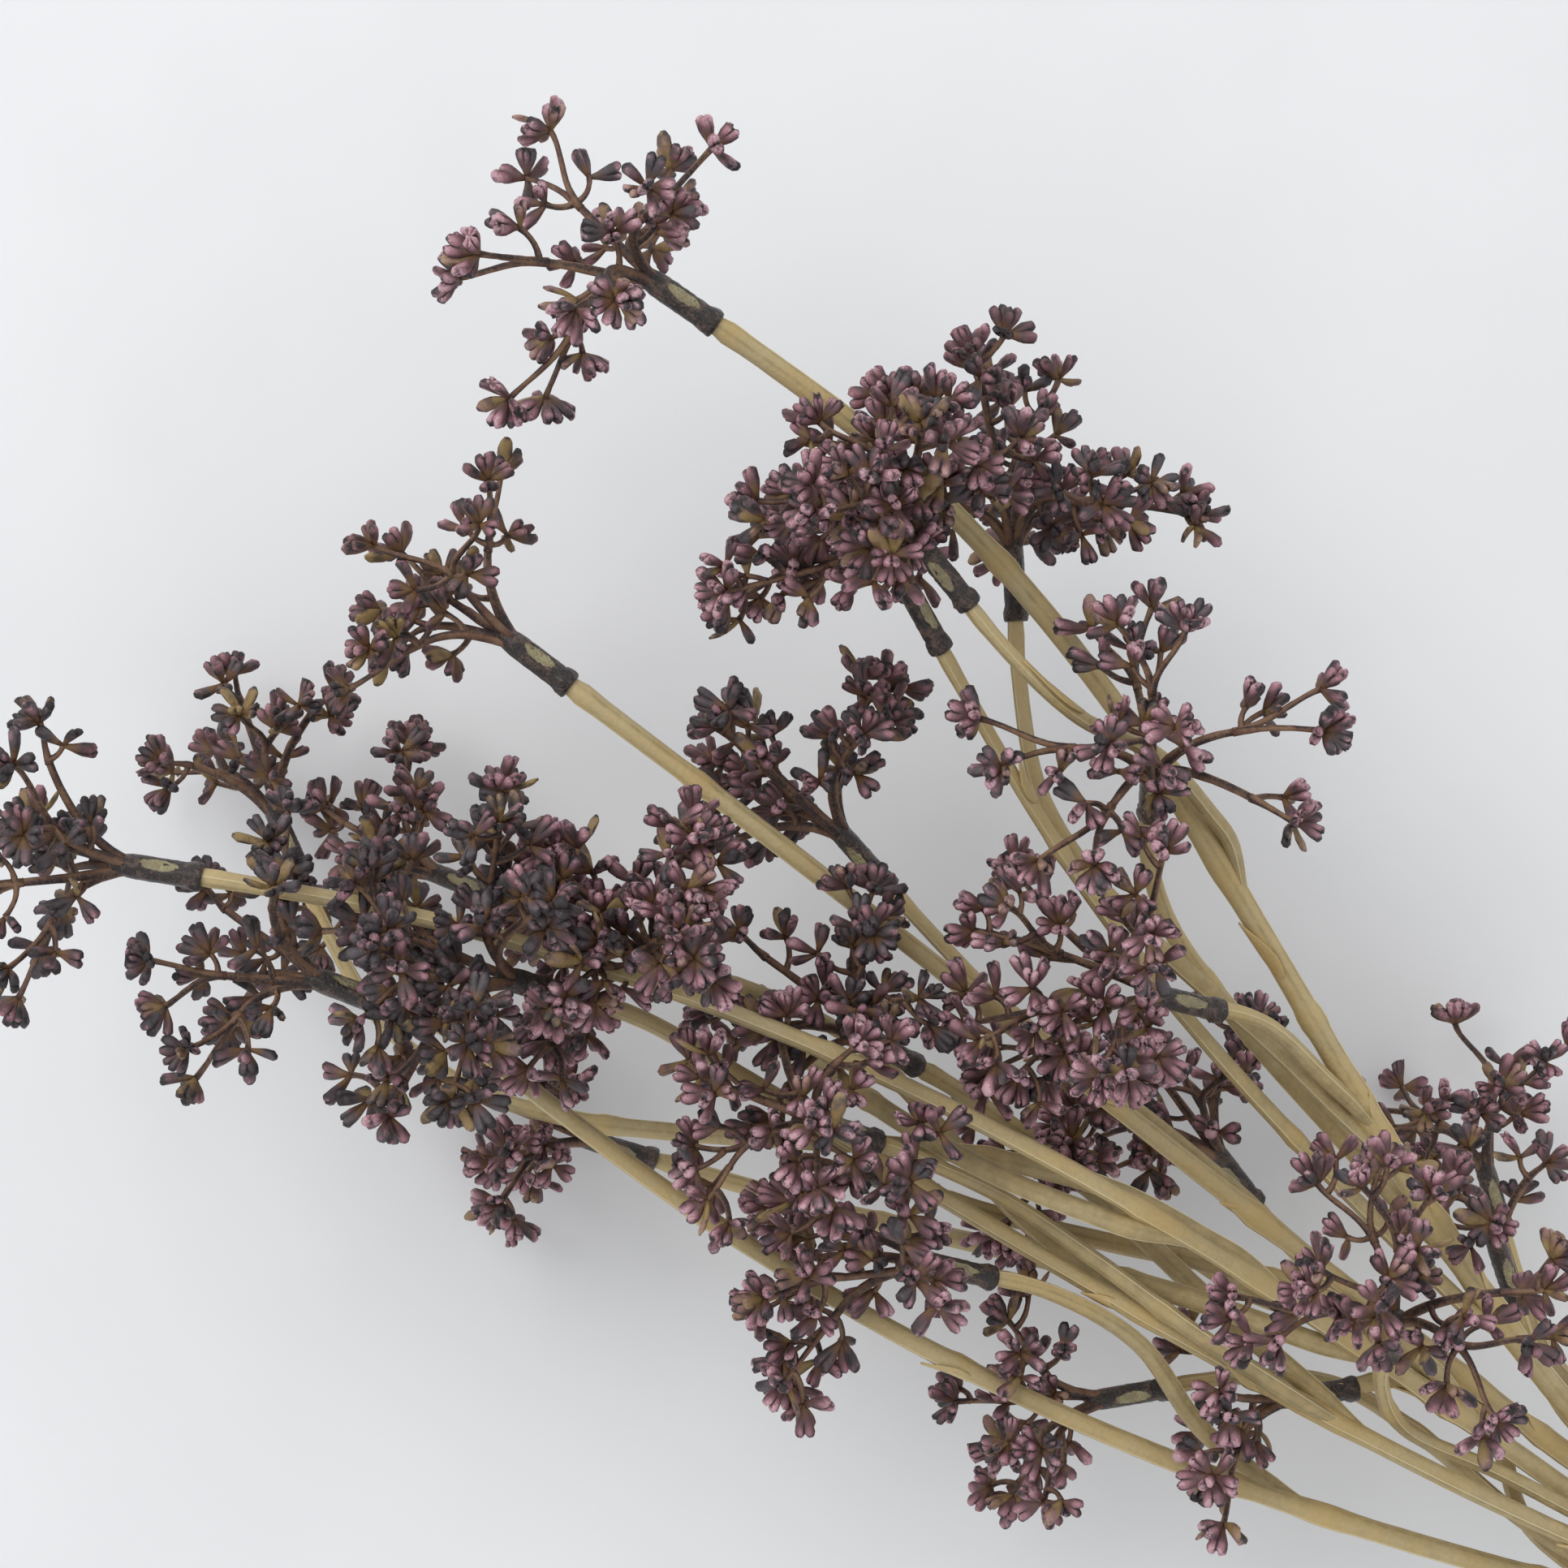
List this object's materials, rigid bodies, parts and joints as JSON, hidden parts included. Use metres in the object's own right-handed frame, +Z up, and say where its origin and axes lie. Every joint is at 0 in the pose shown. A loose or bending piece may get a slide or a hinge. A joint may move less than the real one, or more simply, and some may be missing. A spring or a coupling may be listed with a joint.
{
  "type": "bunch of artificial dried umbel flowers",
  "caption": "Tied bunch of artificial dried flower sprays lying on its side: khaki stems that branch into mauve-brown umbels of small club-shaped florets.",
  "frame": {"origin": "the middle of the bunch's footprint on the surface that it lies on", "axes": "+X along the stems towards their cut ends, +Y across the bunch, +Z up from the surface"},
  "size_m": [0.5232, 0.1894, 0.1299],
  "materials": {
    "stem": "matt khaki moulded plastic with lengthwise ridges, olive in the grooves and straw on the ridges",
    "umbel": "matt moulded plastic, hand-toned mauve and brown with charcoal edges and creases",
    "band": "dull natural jute binding"
  },
  "bodies": {
    "root": {"band": "band", "branch_a1": "stem", "branch_a2": "stem", "branch_a3": "stem", "branch_a4": "stem", "branch_a5": "stem", "branch_a6": "stem", "branch_a7": "stem", "branch_b1": "stem", "branch_b2": "stem", "branch_b3": "stem", "branch_c1": "stem", "branch_c2": "stem", "branch_c3": "stem", "branch_c4": "stem", "branch_d1": "stem", "branch_d2": "stem", "branch_d3": "stem", "branch_d4": "stem", "branch_e1": "stem", "branch_e2": "stem", "branch_e3": "stem", "stem_a": "stem", "stem_b": "stem", "stem_c": "stem", "stem_d": "stem", "stem_e": "stem", "umbel_a": "umbel", "umbel_a1": "umbel", "umbel_a2": "umbel", "umbel_a3": "umbel", "umbel_a4": "umbel", "umbel_a5": "umbel", "umbel_a6": "umbel", "umbel_a7": "umbel", "umbel_b": "umbel", "umbel_b1": "umbel", "umbel_b2": "umbel", "umbel_b3": "umbel", "umbel_c": "umbel", "umbel_c1": "umbel", "umbel_c2": "umbel", "umbel_c3": "umbel", "umbel_c4": "umbel", "umbel_d": "umbel", "umbel_d1": "umbel", "umbel_d2": "umbel", "umbel_d3": "umbel", "umbel_d4": "umbel", "umbel_e": "umbel", "umbel_e1": "umbel", "umbel_e2": "umbel", "umbel_e3": "umbel"}
  },
  "joints": []
}
